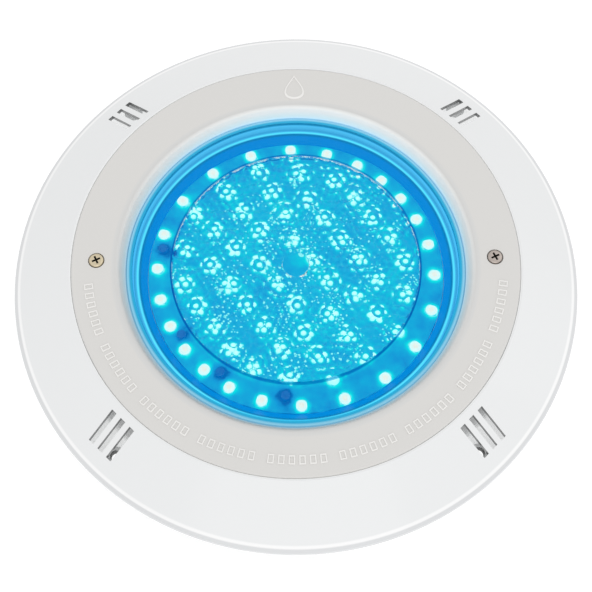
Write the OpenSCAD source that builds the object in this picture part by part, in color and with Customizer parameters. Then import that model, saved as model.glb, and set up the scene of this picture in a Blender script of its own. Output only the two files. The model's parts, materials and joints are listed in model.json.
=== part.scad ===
// Underwater pool light: a wall niche, a lift-out light unit with an LED lamp, and a push-fit
// face ring. All sizes are in millimetres.
// The origin is the centre of the pool wall's surface, where the niche flange sits.
// +Z points out of the wall, towards the swimmer, and +Y is up the wall.

/* [Face ring] */
// Outer radius of the face ring
face_r = 145; // [143:0.5:148]
// Height of the face ring's inner edge above the wall
face_top_z = 21.2; // [20.6:0.1:22]
// Wall thickness of the face ring
face_t = 2.4; // [2:0.1:2.6]
// Width of one vent slot
slot_w = 3.1; // [2.6:0.1:3.4]
// Distance between neighbouring vent slots
slot_pitch = 6.2; // [5.8:0.1:6.6]

/* [Bezel ring] */
// Outer radius of the bezel ring
bezel_r = 113; // [112.6:0.1:113]
// Height of the bezel's flat face above the wall
bezel_z = 21; // [20.6:0.1:21.4]
// Radius of the lens opening
opening_r = 86.5; // [86.5:0.1:86.9]
// Radius from the centre to each face screw
screw_r = 100.4; // [100.2:0.1:100.6]

/* [Lamp] */
// Height of the lens front above the wall
lens_z = 14.4; // [14.2:0.1:14.6]
// Thickness of the lens
lens_t = 4; // [3.6:0.1:4.2]
// Mean radius of the ring of lamps
ring_led_r = 71.3; // [71:0.1:71.5]
// Lamps in the outer ring
ring_led_count = 24; // [12:12:24]

/* [Niche] */
// Inner radius of the niche tube
niche_r = 109.5; // [109:0.1:109.6]
// Depth of the niche behind the wall
niche_depth = 128; // [122:1:150]
// Outer radius of the niche flange
flange_r = 137; // [136:0.5:137]
// Half the distance between the flange screws, across
flange_screw_x = 88; // [87:0.5:88.5]
// Half the distance between the flange screws, upwards
flange_screw_y = 97; // [96:0.5:97.5]
// Radius of the socket for the conduit
conduit_r = 12.6; // [10.1:0.1:13.4]

/* [Cable gland] */
// Radius of the cable that the gland seals on
cable_r = 4; // [3.4:0.1:4.2]
// Distance across the flats of the gland's hexagons
gland_af = 22; // [21:0.5:24]

/* [Hidden] */

$fn = 96;
eps = 0.01;
fit_gap = 0.05;

// Face ring
face_gap = 0.4;
face_in_r = bezel_r + face_gap;
face_rim_t = 2.6;
face_rim_z = 3.4;
face_base_z = 0.4;
face_collar_t = 2;
face_collar_z = 9;
face_round = 1.4;
slot_in_r = 117.8;
slot_out_r = 134.8;
slots_per_group = 3;
finger_count = 4;
finger_w = 30;

// Niche
niche_t = 3;
flange_t = 4;
lip_z = 8;
rib_in_r = 118.6;
rib_out_r = 120.6;
flange_hole_r = 2.6;
flange_boss_r = 4.6;
flange_boss_z = 4.9;
lug_in_r = 95.6;
lug_w = 16;
lug_z = 1.5;
lug_h = 15;
insert_r = 3.5;
insert_h = 10;
conduit_z = -98;
conduit_depth = 25;
conduit_end_y = 141;
conduit_wall = 3.4;
conduit_hole_r = 8.2;
conduit_thread_r = 10.4;
conduit_flange_r = 18;
conduit_flange_t = 3;
conduit_seal_t = 1.5;
conduit_boss_y = conduit_end_y - conduit_depth - 2.5;
anchor_ring_r = 117;
anchor_ring_z = [-52, -74];
gusset_count = 8;
gusset_t = 2.4;
gusset_w = 20;
gusset_h = 24;

// Bezel ring
skin_t = 3;
skirt_t = 2.4;
skirt_z = lip_z + 0.4;
collar_in_r = 90.9;
collar_out_r = 95.4;
collar_z = 8.7;
bevel_out_r = 91.2;
bezel_lip_z = 11.5;
boss_z = 14;
boss_r = 6;
screw_hole_r = 2.8;
head_recess_r = 4.15;
head_recess_z = 1.6;
back_screw_count = 8;
back_screw_r = 103.4;
back_boss_r = 3.8;
back_screw_shank_r = 2;
back_screw_head_r = 3.6;
back_screw_head_h = 2.2;
back_screw_len = 10.5;
rib_count = 16;
rib_t = 2;

// Face screws, M5 with a pitch of 0.8
face_screw_shank_r = 2.5;
face_screw_head_r = 3.75;
face_screw_head_h = 2.4;
face_screw_round = 1.2;
face_screw_len = 28;
cross_len = 4.4;
cross_w = 1;
cross_depth = 1.3;
cross_turn = 25;
washer_z = 2.2;
washer_t = 1;
washer_r = 4.5;

// Housing
housing_flange_r = 107.4;
housing_flange_z = 8.5;
housing_flange_t = 3.5;
housing_seat_r = 90.7;
housing_seat_z = 4.5;
shelf_r = 86.6;
back_box_r = 66;
back_box_z = -92;
back_box_top_z = -46;
housing_t = 3;
fin_count = 8;
fin_t = 2.4;
fin_out_r = 74;
oring_in_r = 92.1;
oring_out_r = 94.1;

// Lamp
lens_r = opening_r - 0.5;
rim_r = 88.9;
lens_back_z = lens_z - lens_t;
rim_top_z = 10.2;
rim_join_z = 8.2;
rim_low_z = 5.7;
board_z = 3;
board_t = 1.6;
board_r = 75.5;
ring_crowd_a = 6;
ring_stretch = 1.35;
led_size = 5.4;
led_base_h = 0.7;
led_dome_r = 2.4;
led_dome_h = 1;
board_ledge_z = board_z - board_t;
shell_back_z = -46;
shell_t = 2.4;

// Rows of lamps in the middle of the board. The rows run across a line turned by row_turn,
// and each row lists how far its lamps stand from that line.
row_turn = 127;
row_pitch = 14.8;
row_shift = 1;
rows = [
    [10.9, 30.7, 51.3],
    [10.9, 30.7, 51.3],
    [0, 16.5, 31.5, 49],
    [0, 18.6, 37.5],
    [0, 21]];

// Screws that hold the board, midway between ring lamps
board_screw_places = [[70.2, 168.7], [67.4, 210.5], [66.4, 235], [67.2, 265.2]];
board_screw_shank_r = 1.25;
board_screw_head_r = 2.2;
board_screw_head_h = 1.3;
board_screw_len = 7.5;

// Lamp terminals and wiring
terminal_x = 8;
terminal_r = 2;
terminal_end_z = -57;
lug_plate_z = -50.8;
ring_lug_r = 4;
ring_lug_t = 0.8;
crimp_r = 2.2;
wire_r = 1.4;
wire_bend = 6;
wire_y = -20;
wire_z = -81;
wire_end_y = -40;
pillar_r = 32;
driver_z = -20.4;
driver_r = 38;
capacitor_r = 5;
capacitor_h = 13;
coil_r = 6;
coil_wire_r = 3.2;
rectifier_size = [12, 10, 5];
lead_r = 0.9;

// Connector block
block_w = 32;
block_y = -42;
block_d = 20;
block_h = 16;
sleeve_r = 2.6;
block_screw_r = 1.8;
block_screw_len = 4.4;
block_screw_y = [-5, 5];

// Cable gland, M16 with a pitch of 1.5, pointing down the wall
gland_z = -76;
pad_y = -67.5;
pad_r = 14.5;
pad_wall = 4.5;
spot_face_r = 12.8;
gland_thread_r = 8;
gland_washer_t = 1.5;
gland_hex_t = 5;
gland_top_r = 9.4;
gland_top_len = 10.5;
gland_bore_r = 5;
seal_r = 6.9;
seal_len = 9;
ring_len = 3;
nut_hole_r = 4.7;
nut_len = 18;
nut_cone_len = 6;
locknut_t = 4;
gland_hex_z = gland_washer_t + 0.02;
gland_top_z = gland_hex_z + gland_hex_t;
seal_z = gland_top_z + 1.5;
ring_z = seal_z + seal_len + 0.05;
nut_z = gland_top_z + 0.5;

// A point at an angle on a circle.
function polar(r, a) = [r * cos(a), r * sin(a)];

// The lamps of the outer ring stand on a slightly drawn-out circle.
function ring_angle(k) =
    let (a = k * 360 / ring_led_count)
    row_turn + a + ring_crowd_a * sin(2 * a);
function ring_radius(k) = ring_led_r + ring_stretch * cos(2 * k * 360 / ring_led_count);

// Height of the face ring's sloping outside at a radius.
function cone_z(r) =
    face_top_z - (r - face_in_r) * (face_top_z - face_rim_z) / (face_r - face_round - face_in_r);

// Points of a quarter round, from one angle to another.
function round_corner(cx, cz, r, a0, a1) = [for (i = [0:4])
    [cx + r * cos(a0 + (a1 - a0) * i / 4), cz + r * sin(a0 + (a1 - a0) * i / 4)]];

// A ring between two radii and two heights.
module ring(r_in, r_out, z_low, z_high) {
    translate([0, 0, z_low])
        difference() {
            cylinder(r = r_out, h = z_high - z_low);
            translate([0, 0, -1])
                cylinder(r = r_in, h = z_high - z_low + 2);
        }
}

module around(count, r, start = 0) {
    for (i = [0:count - 1])
        rotate(start + i * 360 / count)
            translate([r, 0, 0])
                children();
}

module hexagon(af, h) {
    cylinder(r = af / 2 / cos(30), h = h, $fn = 6);
}

// Places its children at the two face screws, left then right.
module at_screws() {
    for (side = [-1, 1])
        translate([side * screw_r, 0, 0])
            children();
}

// ---- Niche, fixed in the wall ----

// Places its children on the conduit's axis, so that their +Z runs down from a height.
module on_conduit(y) {
    translate([0, y, conduit_z])
        rotate([90, 0, 0])
            children();
}

// A rib under the flange, inside the wall.
module gusset() {
    translate([niche_r + 1, gusset_t / 2, 0])
        rotate([90, 0, 0])
            linear_extrude(gusset_t)
                polygon([[0, 1], [gusset_w, 1], [gusset_w, -2], [0, -gusset_h]]);
}

module lug() {
    intersection() {
        translate([0, -lug_w / 2, lug_z - lug_h])
            cube([niche_r + niche_t / 2, lug_w, lug_h]);
        ring(lug_in_r, niche_r + niche_t / 2, lug_z - lug_h, lug_z);
    }
}

module niche() {
    color("gainsboro")
        difference() {
            union() {
                rotate_extrude()
                    polygon([[0, -niche_depth], [niche_r + niche_t, -niche_depth],
                        [niche_r + niche_t, 0], [flange_r, 0], [flange_r, flange_t],
                        [rib_out_r, flange_t], [rib_out_r, lip_z], [rib_in_r, lip_z],
                        [rib_in_r, flange_t], [niche_r + niche_t, flange_t],
                        [niche_r + niche_t, lip_z], [niche_r, lip_z],
                        [niche_r, niche_t - niche_depth], [0, niche_t - niche_depth]]);
                for (sx = [-1, 1], sy = [-1, 1])
                    translate([sx * flange_screw_x, sy * flange_screw_y, flange_t / 2])
                        cylinder(r = flange_boss_r, h = flange_boss_z - flange_t / 2);
                for (z = anchor_ring_z)
                    ring(niche_r + 1, anchor_ring_r, z, z + niche_t);
                for (i = [0:gusset_count - 1])
                    rotate((i + 0.5) * 360 / gusset_count) gusset();
                lug();
                rotate(180) lug();
                on_conduit(conduit_boss_y)
                    cylinder(r = conduit_flange_r + 1, h = conduit_boss_y - niche_r + 3);
            }
            for (sx = [-1, 1], sy = [-1, 1])
                translate([sx * flange_screw_x, sy * flange_screw_y, -1])
                    cylinder(r = flange_hole_r, h = flange_boss_z + 2);
            at_screws()
                translate([0, 0, lug_z - insert_h - 3])
                    cylinder(r = insert_r, h = insert_h + 4);
            on_conduit(conduit_boss_y + 1)
                cylinder(r = conduit_thread_r + fit_gap, h = conduit_boss_y - niche_r + 12);
        }
}

// A bush that screws into the top of the niche and takes the conduit.
module conduit_adaptor() {
    flange_y = conduit_boss_y + conduit_seal_t + 0.02;
    color("lightsteelblue")
        difference() {
            union() {
                on_conduit(conduit_end_y)
                    cylinder(r = conduit_r + conduit_wall, h = conduit_end_y - flange_y);
                on_conduit(flange_y + conduit_flange_t)
                    cylinder(r = conduit_flange_r, h = conduit_flange_t);
                on_conduit(flange_y + 1)
                    cylinder(r = conduit_thread_r, h = flange_y + 1 - niche_r);
            }
            on_conduit(conduit_end_y + 1)
                cylinder(r = conduit_r, h = conduit_depth + 1);
            on_conduit(conduit_end_y)
                cylinder(r = conduit_hole_r, h = conduit_end_y - niche_r + 6);
        }
}

module conduit_seal() {
    color("black")
        on_conduit(conduit_boss_y + conduit_seal_t + 0.01)
            ring(conduit_thread_r + 0.1, conduit_flange_r - 1, 0, conduit_seal_t);
}

module lug_inserts() {
    color("goldenrod")
        at_screws()
            ring(face_screw_shank_r + fit_gap, insert_r, lug_z - insert_h, lug_z);
}

// ---- Face ring ----

module face_profile() {
    out_r = face_r;
    slope_end = out_r - face_round;
    under_r = out_r - face_rim_t;
    polygon(concat(
        [[out_r - 0.8, face_base_z], [out_r, face_base_z + 0.8]],
        round_corner(slope_end, face_rim_z - face_round + 0.3, face_round, 0, 60),
        [[face_in_r + 0.9, cone_z(face_in_r + 0.9)], [face_in_r, cone_z(face_in_r) - 0.8],
            [face_in_r, face_collar_z], [face_in_r + face_collar_t, face_collar_z],
            [face_in_r + face_collar_t, cone_z(face_in_r + face_collar_t) - face_t * 1.16],
            [under_r, cone_z(under_r) - face_t * 1.16],
            [under_r, face_base_z]]));
}

module vent_slots() {
    for (k = [0:slots_per_group - 1])
        translate([slot_in_r, (k - (slots_per_group - 1) / 2) * slot_pitch - slot_w / 2, 1.5])
            cube([slot_out_r - slot_in_r, slot_w, face_top_z]);
}

module face_ring() {
    color("white") {
        difference() {
            rotate_extrude() face_profile();
            for (g = [0:3])
                rotate(45 + 90 * g) vent_slots();
        }
        for (g = [0:finger_count - 1])
            rotate(g * 360 / finger_count)
                intersection() {
                    ring(rib_in_r - 2, rib_in_r - 0.3, flange_t + 0.6, cone_z(rib_in_r) - face_t);
                    translate([rib_in_r - 6, -finger_w / 2, 0])
                        cube([8, finger_w, face_top_z]);
                }
    }
}

// ---- Light unit ----

module bezel_profile() {
    polygon(concat(
        [[bezel_r, skirt_z]],
        round_corner(bezel_r - 0.9, bezel_z - 0.9, 0.9, 0, 90),
        [[bevel_out_r, bezel_z], [bevel_out_r - 1.2, bezel_z - 0.4],
            [bevel_out_r - 2.4, bezel_z - 1.6], [opening_r + 0.9, lens_z + 1.1],
            [opening_r, lens_z - 0.2], [opening_r, bezel_lip_z], [collar_in_r, bezel_lip_z],
            [collar_in_r, collar_z], [collar_out_r, collar_z],
            [collar_out_r, bezel_z - skin_t], [bezel_r - skirt_t, bezel_z - skin_t],
            [bezel_r - skirt_t, skirt_z]]));
}

module bezel_ring() {
    color("lightgray")
        difference() {
            union() {
                rotate_extrude() bezel_profile();
                at_screws()
                    translate([0, 0, boss_z])
                        cylinder(r = boss_r, h = bezel_z - skin_t - boss_z + 1);
                around(back_screw_count, back_screw_r, 180 / back_screw_count)
                    translate([0, 0, collar_z])
                        cylinder(r = back_boss_r, h = bezel_z - skin_t - collar_z + 1);
                for (i = [0:rib_count - 1])
                    rotate((i + 0.5) * 360 / rib_count)
                        translate([collar_out_r - 1, -rib_t / 2, boss_z])
                            cube([bezel_r - skirt_t - collar_out_r + 2, rib_t, bezel_z - boss_z - 1]);
            }
            at_screws() {
                translate([0, 0, boss_z - 1])
                    cylinder(r = screw_hole_r, h = bezel_z);
                translate([0, 0, bezel_z - head_recess_z])
                    cylinder(r = head_recess_r, h = bezel_z);
            }
            around(back_screw_count, back_screw_r, 180 / back_screw_count)
                translate([0, 0, collar_z - 1])
                    cylinder(r = back_screw_shank_r, h = bezel_z - skin_t - collar_z);
        }
}

// Self-tapping screws that pull the bezel onto the housing from behind.
module bezel_screws() {
    head_z = housing_flange_z - housing_flange_t;
    color("silver")
        around(back_screw_count, back_screw_r, 180 / back_screw_count)
            difference() {
                union() {
                    translate([0, 0, head_z - back_screw_head_h])
                        cylinder(r = back_screw_head_r, h = back_screw_head_h);
                    translate([0, 0, head_z - 1])
                        cylinder(r = back_screw_shank_r - fit_gap, h = back_screw_len + 1);
                }
                for (turn = [0, 90])
                    rotate(turn)
                        translate([0, 0, head_z - back_screw_head_h])
                            cube([cross_len, 0.9, 2], center = true);
            }
}

module housing_profile() {
    polygon([[housing_flange_r, housing_flange_z],
        [housing_flange_r, housing_flange_z - housing_flange_t],
        [94, housing_flange_z - housing_flange_t], [93.4, 2], [90, -5],
        [back_box_r, back_box_top_z], [back_box_r, back_box_z], [0, back_box_z],
        [0, back_box_z + housing_t], [back_box_r - housing_t, back_box_z + housing_t],
        [back_box_r - housing_t, back_box_top_z + 3], [shelf_r, 1], [shelf_r, housing_seat_z],
        [housing_seat_r, housing_seat_z], [housing_seat_r, housing_flange_z],
        [oring_in_r - 0.2, housing_flange_z], [oring_in_r - 0.2, 6.4],
        [oring_out_r + 0.2, 6.4], [oring_out_r + 0.2, housing_flange_z]]);
}

module housing() {
    color("whitesmoke")
        difference() {
            union() {
                rotate_extrude() housing_profile();
                translate([0, pad_y + pad_wall - 0.5, gland_z])
                    rotate([90, 0, 0])
                        cylinder(r = pad_r, h = pad_wall - 0.5);
                for (i = [0:fin_count - 1])
                    rotate((i + 0.5) * 360 / fin_count)
                        translate([back_box_r - 1, -fin_t / 2, back_box_z])
                            cube([fin_out_r - back_box_r + 1, fin_t, back_box_top_z - back_box_z - 6]);
            }
            on_gland() {
                translate([0, 0, -pad_wall - 10])
                    cylinder(r = spot_face_r, h = 10);
                translate([0, 0, -pad_wall - 10])
                    cylinder(r = gland_thread_r + fit_gap, h = 20);
            }
            at_screws()
                cylinder(r = washer_r + 0.7, h = 20);
            around(back_screw_count, back_screw_r, 180 / back_screw_count)
                cylinder(r = back_screw_shank_r + 0.2, h = 20);
        }
}

module housing_oring() {
    color("black")
        rotate_extrude()
            polygon([[oring_in_r + 0.5, 6.5], [oring_out_r - 0.5, 6.5], [oring_out_r, 7],
                [oring_out_r, 8.15], [oring_out_r - 0.5, 8.65], [oring_in_r + 0.5, 8.65],
                [oring_in_r, 8.15], [oring_in_r, 7]]);
}

// A U-shaped rubber band that wraps the lamp's rim.
module lamp_gasket() {
    color("dimgray")
        rotate_extrude()
            polygon([[opening_r + 0.3, rim_top_z], [rim_r + 0.05, rim_top_z],
                [rim_r + 0.05, rim_low_z], [opening_r + 0.3, rim_low_z],
                [opening_r + 0.3, housing_seat_z + 0.05], [housing_seat_r - 0.2, housing_seat_z + 0.05],
                [housing_seat_r - 0.2, bezel_lip_z - 0.05], [opening_r + 0.3, bezel_lip_z - 0.05]]);
}

module lamp_lens() {
    color("deepskyblue", 0.5)
        rotate_extrude()
            polygon([[0, lens_back_z], [0, lens_z], [lens_r - 1, lens_z], [lens_r, lens_z - 1],
                [lens_r, rim_top_z], [rim_r, rim_top_z], [rim_r, rim_join_z + 0.02],
                [84.4, rim_join_z + 0.02], [84.4, lens_back_z]]);
}

module reflector_ring() {
    color("dodgerblue")
        rotate_extrude()
            polygon([[board_r + 0.4, board_ledge_z + 0.02], [83.9, board_ledge_z + 0.02],
                [83.9, lens_back_z - 0.1], [83.2, lens_back_z - 0.1], [82.4, 6.4], [79.5, 6.4],
                [board_r + 0.4, board_z + 0.2]]);
}

module lamp_shell() {
    color("white")
        difference() {
            rotate_extrude()
                polygon([[84.1, rim_join_z], [rim_r, rim_join_z], [rim_r, rim_low_z],
                    [86.2, rim_low_z], [86.2, 2], [78, -5], [59.5, -37], [28, shell_back_z],
                    [28, shell_back_z - 3], [0, shell_back_z - 3], [0, shell_back_z + shell_t],
                    [27, shell_back_z + shell_t], [57, -34.6], [72, -6], [72, board_ledge_z],
                    [84.1, board_ledge_z]]);
            for (side = [-1, 1])
                translate([side * terminal_x, 0, shell_back_z - 10])
                    cylinder(r = terminal_r + fit_gap, h = 20);
        }
}

module led_board() {
    color("white")
        difference() {
            translate([0, 0, board_ledge_z + 0.02])
                cylinder(r = board_r, h = board_t - 0.02);
            for (place = board_screw_places)
                translate(concat(polar(place[0], place[1]), [0]))
                    cylinder(r = board_screw_shank_r + 0.1, h = 10, center = true);
        }
}

// One surface-mounted lamp: a square base with a round lens of resin.
module led() {
    translate([-led_size / 2, -led_size / 2, board_z + 0.02])
        cube([led_size, led_size, led_base_h]);
    translate([0, 0, board_z + led_base_h - eps])
        cylinder(r1 = led_dome_r, r2 = led_dome_r - 0.7, h = led_dome_h);
}

module ring_leds() {
    color("aliceblue")
        for (k = [0:ring_led_count - 1])
            rotate(ring_angle(k))
                translate([ring_radius(k), 0, 0])
                    led();
}

module centre_leds() {
    color("azure")
        rotate(row_turn)
            for (row = [0:len(rows) - 1], side = (row == 0 ? [1] : [-1, 1]))
                for (v = rows[row], flip = (v == 0 ? [1] : [-1, 1]))
                    translate([side * row * row_pitch + row_shift, flip * v, 0])
                        led();
}

module board_screws() {
    color("slategray")
        for (place = board_screw_places)
            translate(concat(polar(place[0], place[1]), [0])) {
                translate([0, 0, board_z + 0.02])
                    cylinder(r = board_screw_head_r, h = board_screw_head_h);
                translate([0, 0, board_z + 0.5 - board_screw_len])
                    cylinder(r = board_screw_shank_r, h = board_screw_len);
            }
}

module driver_pillars() {
    color("goldenrod")
        around(3, pillar_r, 30)
            translate([0, 0, driver_z + 0.02])
                cylinder(r = 2.75, h = board_ledge_z - driver_z - 0.04, $fn = 6);
}

module driver_board() {
    color("seagreen")
        translate([0, 0, driver_z - board_t])
            cylinder(r = driver_r, h = board_t);
}

module driver_capacitors() {
    color("darkslategray")
        for (x = [-22, -10])
            translate([x, 16, driver_z - board_t - capacitor_h - 0.02])
                cylinder(r = capacitor_r, h = capacitor_h);
}

module driver_coil() {
    color("chocolate")
        translate([16, 14, driver_z - board_t - 4.6])
            rotate_extrude()
                translate([coil_r, 0])
                    circle(r = coil_wire_r, $fn = 32);
}

module driver_rectifier() {
    color("black")
        translate([-26, -14, driver_z - board_t - rectifier_size[2] - 0.02])
            cube(rectifier_size);
}

module lamp_leads() {
    color("tomato")
        for (side = [-1, 1])
            translate([side * terminal_x, 0, -39.9])
                cylinder(r = lead_r, h = driver_z - board_t + 39.8, $fn = 24);
}

// Brass studs that carry the supply through the back of the lamp.
module lamp_terminals() {
    color("gold")
        for (side = [-1, 1])
            translate([side * terminal_x, 0, 0]) {
                translate([0, 0, terminal_end_z])
                    cylinder(r = terminal_r, h = -40 - terminal_end_z);
                translate([0, 0, shell_back_z + shell_t + 0.02])
                    hexagon(8, 2);
            }
}

module terminal_nuts() {
    color("gold")
        for (side = [-1, 1])
            translate([side * terminal_x, 0, lug_plate_z - 3.1])
                difference() {
                    hexagon(7, 3);
                    translate([0, 0, -1])
                        cylinder(r = terminal_r + fit_gap, h = 5);
                }
}

// Crimped ring lugs on the ends of the wires.
module wire_lugs() {
    color("silver")
        for (side = [-1, 1])
            translate([side * terminal_x, 0, lug_plate_z])
                difference() {
                    union() {
                        cylinder(r = ring_lug_r, h = ring_lug_t);
                        translate([-1.5, -8, 0])
                            cube([3, 6, ring_lug_t]);
                        translate([0, -6, -0.9])
                            rotate([90, 0, 0])
                                cylinder(r = crimp_r, h = 6);
                    }
                    translate([0, 0, -1])
                        cylinder(r = terminal_r + fit_gap, h = 3);
                    translate([0, -6.5, -0.9])
                        rotate([90, 0, 0])
                            cylinder(r = wire_r + fit_gap, h = 8);
                }
}

// A quarter turn of wire that starts at the origin, runs towards -Y and ends towards -Z.
module wire_elbow() {
    translate([0, 0, -wire_bend])
        rotate([0, -90, 0])
            rotate_extrude(angle = -90)
                translate([wire_bend, 0])
                    circle(r = wire_r, $fn = 24);
}

module lead_wires() {
    start_z = lug_plate_z - 0.9;
    fall = start_z - wire_z - 2 * wire_bend;
    color("tomato")
        for (side = [-1, 1])
            translate([side * terminal_x, 0, 0]) {
                translate([0, -7, start_z])
                    rotate([90, 0, 0])
                        cylinder(r = wire_r, h = -wire_y - 7 - wire_bend, $fn = 24);
                translate([0, wire_y + wire_bend, start_z])
                    wire_elbow();
                translate([0, wire_y, wire_z + wire_bend])
                    cylinder(r = wire_r, h = fall, $fn = 24);
                translate([0, wire_y - wire_bend, wire_z])
                    mirror([0, 1, 0])
                        mirror([0, 0, 1])
                            wire_elbow();
                translate([0, wire_y - wire_bend, wire_z])
                    rotate([90, 0, 0])
                        cylinder(r = wire_r, h = wire_y - wire_bend - wire_end_y, $fn = 24);
            }
}

module connector_block() {
    base_z = back_box_z + housing_t + 0.05;
    color("ivory")
        difference() {
            translate([-block_w / 2, block_y - block_d / 2, base_z])
                cube([block_w, block_d, block_h]);
            for (side = [-1, 1]) {
                translate([side * terminal_x, block_y + block_d, wire_z])
                    rotate([90, 0, 0])
                        cylinder(r = sleeve_r + fit_gap, h = 2 * block_d);
                for (y = block_screw_y)
                    translate([side * terminal_x, block_y + y, wire_z])
                        cylinder(r = block_screw_r + 0.1, h = 20);
            }
        }
}

module connector_sleeves() {
    color("gold")
        for (side = [-1, 1])
            translate([side * terminal_x, block_y + block_d / 2 - 1, wire_z])
                rotate([90, 0, 0])
                    difference() {
                        cylinder(r = sleeve_r, h = block_d - 2);
                        translate([0, 0, -1])
                            cylinder(r = wire_r + fit_gap, h = block_d);
                    }
}

module connector_screws() {
    color("silver")
        for (side = [-1, 1], y = block_screw_y)
            translate([side * terminal_x, block_y + y, wire_z + sleeve_r + 0.1])
                difference() {
                    cylinder(r = block_screw_r, h = block_screw_len);
                    translate([0, 0, block_screw_len])
                        cube([5, 0.6, 1.2], center = true);
                }
}

// ---- Cable gland. Each piece is drawn along +Z from the pad's face and then laid down. ----

module on_gland() {
    translate([0, pad_y, gland_z])
        rotate([90, 0, 0])
            children();
}

module gland_body() {
    color("dimgray")
        on_gland()
            difference() {
                union() {
                    translate([0, 0, -9.4])
                        cylinder(r = gland_thread_r, h = gland_hex_z + 9.5);
                    translate([0, 0, gland_hex_z])
                        hexagon(gland_af, gland_hex_t);
                    translate([0, 0, gland_top_z - eps])
                        cylinder(r = gland_top_r, h = gland_top_len);
                }
                translate([0, 0, -20])
                    cylinder(r = gland_bore_r, h = 40);
                translate([0, 0, seal_z])
                    cylinder(r = seal_r + fit_gap, h = 20);
            }
}

module gland_washer() {
    color("black")
        on_gland()
            ring(gland_thread_r + 0.1, gland_thread_r + 2.6, 0.01, gland_washer_t);
}

module gland_locknut() {
    color("dimgray")
        on_gland()
            translate([0, 0, -locknut_t - pad_wall - 0.02])
                difference() {
                    hexagon(gland_af - 1, locknut_t);
                    translate([0, 0, -1])
                        cylinder(r = gland_thread_r + fit_gap, h = locknut_t + 2);
                }
}

module gland_seal() {
    color("black")
        on_gland()
            ring(cable_r + 0.1, seal_r, seal_z + 0.02, seal_z + seal_len);
}

module gland_ring() {
    color("whitesmoke")
        on_gland()
            ring(nut_hole_r - 0.2, seal_r, ring_z, ring_z + ring_len);
}

module gland_nut() {
    inside_z = ring_z + ring_len + 0.3;
    color("dimgray")
        on_gland()
            difference() {
                union() {
                    translate([0, 0, nut_z])
                        hexagon(gland_af, nut_len - nut_cone_len);
                    translate([0, 0, nut_z + nut_len - nut_cone_len - eps])
                        cylinder(r1 = gland_af / 2, r2 = gland_af / 2 - 3, h = nut_cone_len);
                }
                translate([0, 0, nut_z - 1])
                    cylinder(r = gland_top_r + fit_gap, h = inside_z - nut_z + 1);
                cylinder(r = nut_hole_r, h = 60);
            }
}

// ---- Face screws ----

module screw_washer() {
    color("ivory")
        ring(face_screw_shank_r + fit_gap, washer_r, washer_z, washer_z + washer_t);
}

module face_screw() {
    under_z = bezel_z - head_recess_z;
    color("silver")
        difference() {
            union() {
                translate([0, 0, under_z - face_screw_len])
                    cylinder(r = face_screw_shank_r, h = face_screw_len + 1);
                translate([0, 0, under_z + 0.05])
                    rotate_extrude()
                        polygon(concat([[0, 0], [face_screw_head_r, 0]],
                            round_corner(face_screw_head_r - face_screw_round,
                                face_screw_head_h - face_screw_round, face_screw_round, 0, 80),
                            [[0, face_screw_head_h]]));
            }
            for (turn = [0, 90])
                rotate(turn + cross_turn)
                    translate([0, 0, under_z + face_screw_head_h])
                        cube([cross_len, cross_w, 2 * cross_depth], center = true);
        }
}

module left_screw_washer() {
    translate([-screw_r, 0, 0]) screw_washer();
}

module right_screw_washer() {
    translate([screw_r, 0, 0]) screw_washer();
}

module left_face_screw() {
    translate([-screw_r, 0, 0]) face_screw();
}

module right_face_screw() {
    translate([screw_r, 0, 0]) face_screw();
}

niche();
lug_inserts();
conduit_adaptor();
conduit_seal();
face_ring();
bezel_ring();
bezel_screws();
housing();
housing_oring();
lamp_gasket();
lamp_lens();
reflector_ring();
lamp_shell();
led_board();
ring_leds();
centre_leds();
board_screws();
driver_pillars();
driver_board();
driver_capacitors();
driver_coil();
driver_rectifier();
lamp_leads();
lamp_terminals();
terminal_nuts();
wire_lugs();
lead_wires();
connector_block();
connector_sleeves();
connector_screws();
gland_body();
gland_washer();
gland_locknut();
gland_seal();
gland_ring();
gland_nut();
left_screw_washer();
right_screw_washer();
left_face_screw();
right_face_screw();
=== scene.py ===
"""Looks of the underwater pool light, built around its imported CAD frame.

Lengths are in metres, in the frame's own axes: +Z points out of the pool wall and +Y up it.
"""

import json
import math
import random

import bmesh
import bpy
from mathutils import Matrix, Vector
from mathutils.geometry import delaunay_2d_cdt


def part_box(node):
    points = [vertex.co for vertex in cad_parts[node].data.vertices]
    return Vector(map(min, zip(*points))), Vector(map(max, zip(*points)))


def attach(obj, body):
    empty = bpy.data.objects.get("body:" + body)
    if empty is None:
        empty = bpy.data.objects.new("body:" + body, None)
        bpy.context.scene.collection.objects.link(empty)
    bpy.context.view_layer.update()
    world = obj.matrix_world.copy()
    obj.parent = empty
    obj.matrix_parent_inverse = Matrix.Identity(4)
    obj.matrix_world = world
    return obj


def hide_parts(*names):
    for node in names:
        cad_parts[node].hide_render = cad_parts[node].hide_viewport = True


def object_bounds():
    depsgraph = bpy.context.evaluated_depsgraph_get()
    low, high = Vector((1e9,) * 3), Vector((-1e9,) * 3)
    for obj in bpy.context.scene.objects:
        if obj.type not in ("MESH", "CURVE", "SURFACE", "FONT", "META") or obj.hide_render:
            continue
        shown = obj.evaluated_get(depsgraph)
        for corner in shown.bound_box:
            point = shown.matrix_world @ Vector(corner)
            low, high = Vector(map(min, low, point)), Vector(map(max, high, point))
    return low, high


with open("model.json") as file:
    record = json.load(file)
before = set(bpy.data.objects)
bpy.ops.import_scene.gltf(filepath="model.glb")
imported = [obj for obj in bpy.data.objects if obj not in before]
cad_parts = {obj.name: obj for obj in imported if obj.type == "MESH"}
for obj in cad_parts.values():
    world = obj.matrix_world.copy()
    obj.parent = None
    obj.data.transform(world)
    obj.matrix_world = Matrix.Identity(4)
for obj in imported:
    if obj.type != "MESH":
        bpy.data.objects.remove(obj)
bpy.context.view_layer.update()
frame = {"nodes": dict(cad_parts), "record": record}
NODES = frame["nodes"]
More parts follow.
